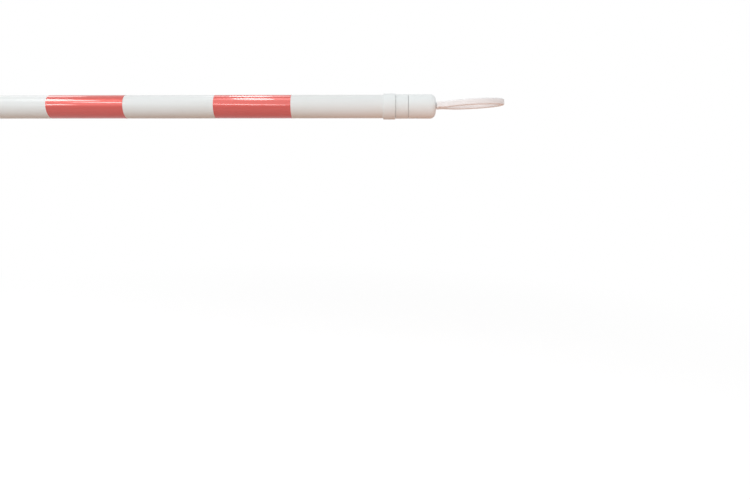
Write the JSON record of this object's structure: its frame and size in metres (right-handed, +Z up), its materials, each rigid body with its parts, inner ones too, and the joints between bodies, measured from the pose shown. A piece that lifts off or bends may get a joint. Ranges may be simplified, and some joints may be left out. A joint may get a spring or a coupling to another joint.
{
  "type": "retractable cone bar",
  "caption": "Telescoping red and white banded bar with a flat ring at each end that drops over traffic cones to link them, and a twist lock for its length.",
  "frame": {"origin": "centre of the tail ring's bore, where a cone passes through it", "axes": "+X along the bar from the tail ring to the sliding head, +Z up, square to the bar and to the pull"},
  "size_m": [1.3384, 0.1024, 0.042],
  "materials": {
    "white_tube": "glossy extruded white plastic",
    "white_moulding": "satin moulded white plastic",
    "red_film": "glossy red reflective film",
    "grey_plastic": "moulded natural plastic",
    "felt": "pressed felt",
    "rubber": "matt rubber",
    "steel": "zinc plated steel"
  },
  "bodies": {
    "outer_bar": {"outer_tube": "white_tube", "outer_band_1": "red_film", "outer_band_2": "red_film", "outer_band_3": "red_film", "lock_collar": "white_moulding", "guide_bush": "grey_plastic", "lock_collet": "grey_plastic", "tail_insert": "grey_plastic", "tail_cap": "white_moulding", "tail_ring": "white_moulding", "tail_screw": "steel"},
    "lock": {"lock_ring": "white_moulding", "wiper_ring": "felt"},
    "slider": {"stop_bush": "grey_plastic", "drag_ring": "rubber"},
    "inner_bar": {"inner_tube": "white_tube", "inner_band_1": "red_film", "inner_band_2": "red_film", "inner_band_3": "red_film", "inner_tail_plug": "grey_plastic", "retaining_clip": "steel", "head_insert": "grey_plastic", "head_cap": "white_moulding", "head_ring": "white_moulding", "head_screw": "steel"}
  },
  "joints": [
    {"name": "inner_slide", "type": "slide", "parent": "outer_bar", "child": "slider", "axis": [1, 0, 0], "range_m": [0, 0.897]},
    {"name": "inner_twist", "type": "hinge", "parent": "slider", "child": "inner_bar", "pos_m": [0.16, 0, -0.00427], "axis": [1, 0, 0], "continuous": true},
    {"name": "lock_twist", "type": "hinge", "parent": "outer_bar", "child": "lock", "pos_m": [1.1189, 0, -0.00427], "axis": [1, 0, 0], "range_deg": [0, 60]}
  ]
}
